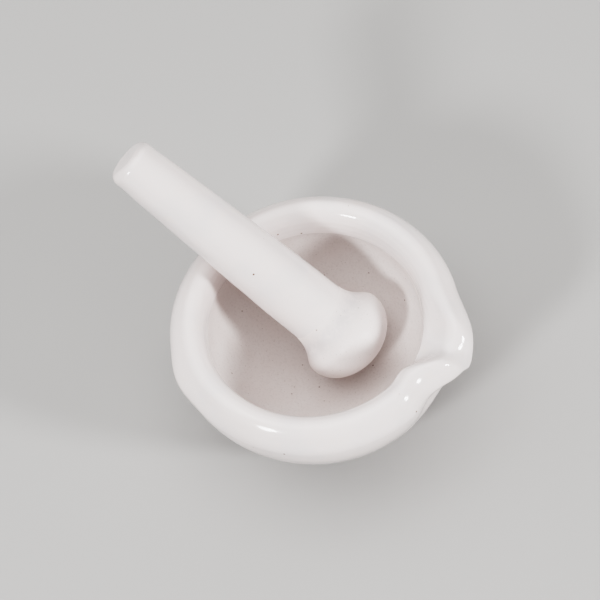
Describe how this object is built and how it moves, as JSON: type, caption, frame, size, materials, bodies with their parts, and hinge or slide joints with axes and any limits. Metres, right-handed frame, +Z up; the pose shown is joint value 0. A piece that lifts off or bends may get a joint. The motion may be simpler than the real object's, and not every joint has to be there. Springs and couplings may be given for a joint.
{
  "type": "mortar and pestle",
  "caption": "White porcelain laboratory mortar with a thick rolled rim and a pour lip, and a one-piece pestle with a domed head leaning in the bowl on the rim.",
  "frame": {"origin": "middle of the mortar's flat foot, on the surface it stands on", "axes": "+Z up, +X from the middle towards the pour lip, +Y to the left of the lip seen from above"},
  "size_m": [0.1273, 0.1, 0.0931],
  "materials": {
    "mortar_porcelain": "glossy white glaze outside and over the rim, matt unglazed grey-beige bowl with fine specks",
    "pestle_porcelain": "satin to glossy white glaze with a few small dark specks"
  },
  "bodies": {
    "mortar": {"mortar": "mortar_porcelain"},
    "pestle": {"pestle": "pestle_porcelain"}
  },
  "joints": [
    {"name": "pestle_lift", "type": "slide", "parent": "mortar", "child": "pestle", "axis": [0, 0, 1], "range_m": [0, 0.1]}
  ]
}
